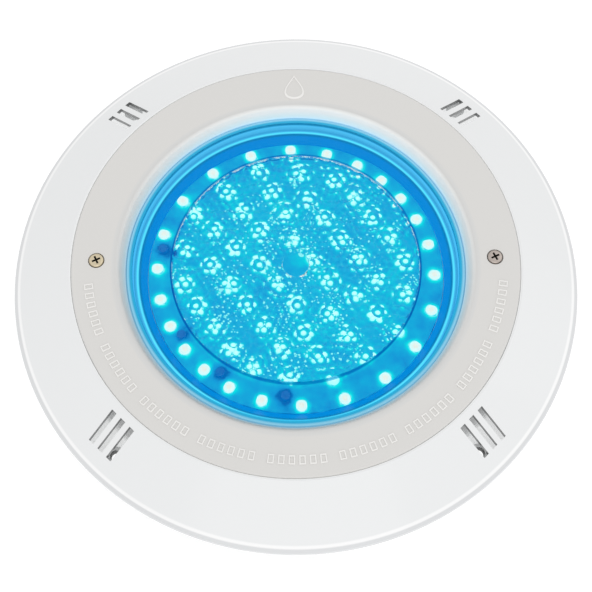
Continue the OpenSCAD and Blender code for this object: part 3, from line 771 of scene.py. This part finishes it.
def lamp_outline(count, half):
    """A square with well rounded corners."""
    points = []
    for k in range(count):
        a = TURN * (k + 0.5) / count
        c, q = math.cos(a), math.sin(a)
        reach = half / (abs(c) ** 6 + abs(q) ** 6) ** (1 / 6)
        points.append((reach * c, reach * q))
    return points


def lamp_shape(x, y, turn, base_z, top_z):
    """One lamp: a rounded square base, and a round well with its resin dome."""
    count = 32
    dome_r = 2.35 * MM
    well_z = top_z - 0.95 * MM
    outline = lamp_outline(count, 2.7 * MM)
    levels = [[(px, py, base_z) for px, py in outline],
              [(px, py, well_z - 0.12 * MM) for px, py in outline],
              [(px * 0.97, py * 0.97, well_z) for px, py in outline]]
    levels.append([(2.55 * MM * px / math.hypot(px, py), 2.55 * MM * py / math.hypot(px, py), well_z)
                   for px, py in outline])
    for k in range(6):
        a = math.pi / 2 * k / 6
        radius, z = dome_r * math.cos(a), well_z + 0.1 * MM + 0.85 * MM * math.sin(a)
        levels.append([(radius * px / math.hypot(px, py), radius * py / math.hypot(px, py), z)
                       for px, py in outline])
    verts = [point for level in levels for point in level]
    faces = [tuple(reversed(range(count)))]
    for ring in range(len(levels) - 1):
        for k in range(count):
            a, b = ring * count + k, ring * count + (k + 1) % count
            faces.append((a, b, b + count, a + count))
    faces.append(tuple(range(len(verts) - count, len(verts))))
    c, s = math.cos(turn), math.sin(turn)
    return [(x + c * px - s * py, y + s * px + c * py, pz) for px, py, pz in verts], faces


def build_lamps(name, node, round_ring):
    """All the lamps of one CAD node, in one piece."""
    low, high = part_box(node)
    centres = [centre for centre, _ in islands(node)]
    parts = []
    for centre in centres:
        turn = math.atan2(centre.y, centre.x) if round_ring else ROW_TURN
        parts.append(lamp_shape(centre.x, centre.y, turn, low.z, high.z))
    lamps = add_object(name, *join_parts(parts))
    away = lamps.data.attributes.new("away", "FLOAT", "POINT")
    for index, vert in enumerate(lamps.data.vertices):
        gap = min(math.hypot(vert.co.x - c.x, vert.co.y - c.y) for c in centres)
        away.data[index].value = gap / (3.2 * MM)
    finish_piece(lamps, "light", "led_resin", node, look="led_resin" if round_ring else "centre_resin")


# ---- Marks on the bezel ----

MARK_R = 104.4 * MM
MARK_START = math.radians(188)
MARK_STEP = 5.0 * MM
MARK_SPACE = 4.2 * MM
MARK_GROUPS = 9
MARKS_PER_GROUP = 6
MARK_FOOT = 0.1 * MM
MARK_RISE = 0.5 * MM
DROP_RISE = 0.35 * MM
DROP_POINTS = 48


def closed_band(levels, count):
    """Faces of a closed band: the last of its rings of points joins the first again."""
    faces = []
    for ring in range(levels):
        following = (ring + 1) % levels
        for k in range(count):
            faces.append((ring * count + k, ring * count + (k + 1) % count,
                          following * count + (k + 1) % count, following * count + k))
    return faces


def plain_frame(angle, z_low, z_high):
    """A small raised rectangular outline that stands on the bezel at an angle round it."""
    half_w, half_l, stroke = 1.55 * MM, 2.25 * MM, 0.65 * MM
    levels = [(0.0, z_low), (0.04, z_high - 0.1 * MM), (0.14, z_high),
              (stroke / MM - 0.14, z_high), (stroke / MM - 0.04, z_high - 0.1 * MM), (stroke / MM, z_low)]
    verts = []
    for inset, z in levels:
        w, l = half_w - inset * MM, half_l - inset * MM
        for along, across in ((l, -w), (l, w), (-l, w), (-l, -w)):
            radius = MARK_R + along
            turn = angle + across / MARK_R
            verts.append((radius * math.cos(turn), radius * math.sin(turn), z))
    return verts, closed_band(len(levels), 4)


def build_marks():
    """A plain row of equal raised frames round the lower half of the bezel, in groups."""
    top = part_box("bezel_ring")[1].z
    parts = []
    angle = MARK_START
    for _ in range(MARK_GROUPS):
        for _ in range(MARKS_PER_GROUP):
            parts.append(plain_frame(angle, top - MARK_FOOT, top + MARK_RISE))
            angle += MARK_STEP / MARK_R
        angle += MARK_SPACE / MARK_R
    marks = add_object("bezel_marks", *join_parts(parts))
    finish_piece(marks, "light", "bezel_abs", look="bezel_mark_highlight")


def drop_outline(scale, count):
    """A plain water drop, point up, about its own centre."""
    points = []
    for k in range(count):
        a = TURN * k / count
        x = scale * math.sin(a) * math.sin(a / 2) ** 1.6
        y = scale * math.cos(a)
        points.append((x, y))
    return points


def build_drop():
    """A raised outline of a drop at the top of the bezel."""
    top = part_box("bezel_ring")[1].z
    centre_y = 101.5 * MM
    shoulder = DROP_RISE - 0.1 * MM
    levels = [(7.6, -MARK_FOOT), (7.55, shoulder), (7.4, DROP_RISE),
              (6.5, DROP_RISE), (6.35, shoulder), (6.3, -MARK_FOOT)]
    verts = []
    for scale, rise in levels:
        outline = drop_outline(scale * MM, DROP_POINTS)
        verts += [(x, centre_y + y, top + rise) for x, y in outline]
    drop = add_object("bezel_drop", verts, closed_band(len(levels), DROP_POINTS))
    finish_piece(drop, "light", "bezel_abs", look="bezel_mark_highlight")


# ---- Stage ----

def build_stage():
    """A plain pale floor under the niche, with a faint glow of its own."""
    floor_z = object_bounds()[0].z
    size = 40.0
    corners = [(-size, -size, floor_z), (size, -size, floor_z), (size, size, floor_z),
               (-size, size, floor_z)]
    floor = add_object("floor", corners, [(0, 1, 2, 3)])
    shader = Shader("floor_paper", (0.9, 0.9, 0.9), 0.9)
    shader.use("Base Color", shader.ramp(shader.noise(3.0), [(0.3, 0.88), (0.7, 0.92)]))
    shader.set("Emission Color", (1, 1, 1, 1))
    shader.set("Emission Strength", 0.22)
    floor.data.materials.append(shader.material)


def add_softbox(name, place, size, power, color=(1, 1, 1)):
    """A square area light that faces the middle of the face ring."""
    light = bpy.data.lights.new(name, "AREA")
    light.size = size
    light.energy = power
    light.color = color
    lamp = bpy.data.objects.new(name, light)
    lamp.location = place
    lamp.rotation_euler = (-Vector(place)).to_track_quat("-Z", "Y").to_euler()
    bpy.context.scene.collection.objects.link(lamp)


def light_scene():
    world = bpy.data.worlds.new("studio")
    world.use_nodes = True
    background = world.node_tree.nodes["Background"]
    background.inputs["Color"].default_value = (1.0, 1.0, 1.0, 1)
    background.inputs["Strength"].default_value = 0.9
    bpy.context.scene.world = world
    add_softbox("right_box", (1.6, 0.6, 1.6), 2.4, 4.5)
    add_softbox("left_box", (-1.6, 0.2, 1.4), 2.4, 0.8)
    add_softbox("low_box", (0.0, -1.8, 1.1), 2.0, 5.0)
    bpy.context.scene.view_settings.view_transform = "Standard"


def add_camera():
    """The camera looks down at the face, from 66.67 degrees above the XY plane."""
    elevation = math.radians(66.67)
    roll = math.radians(-0.51)
    distance = 0.63333
    target = Vector((-0.00001, -0.01142, 0))
    back = Vector((0, -math.cos(elevation), math.sin(elevation)))
    right = Vector((1, 0, 0))
    up = back.cross(right)
    turned_right = right * math.cos(roll) + up * math.sin(roll)
    turned_up = up * math.cos(roll) - right * math.sin(roll)
    camera = bpy.data.objects.new("camera", bpy.data.cameras.new("camera"))
    camera.data.lens = 74.72
    camera.data.sensor_width = 36
    camera.data.clip_start = 0.01
    camera.data.clip_end = 100
    axes = Matrix((turned_right, turned_up, back)).transposed().to_4x4()
    camera.matrix_world = Matrix.Translation(target + back * distance) @ axes
    bpy.context.scene.collection.objects.link(camera)
    bpy.context.scene.camera = camera


RING_LAMPS = [centre for centre, _ in islands("ring_leds")]
CENTRE_LAMPS = [centre for centre, _ in islands("centre_leds")]
BOARD_SCREWS = [centre for centre, _ in islands("board_screws")]

build_lens()
build_board(RING_LAMPS + CENTRE_LAMPS, BOARD_SCREWS)
build_lamps("ring_lamps", "ring_leds", True)
build_lamps("centre_lamps", "centre_leds", False)
build_marks()
build_drop()
build_stage()
light_scene()
add_camera()
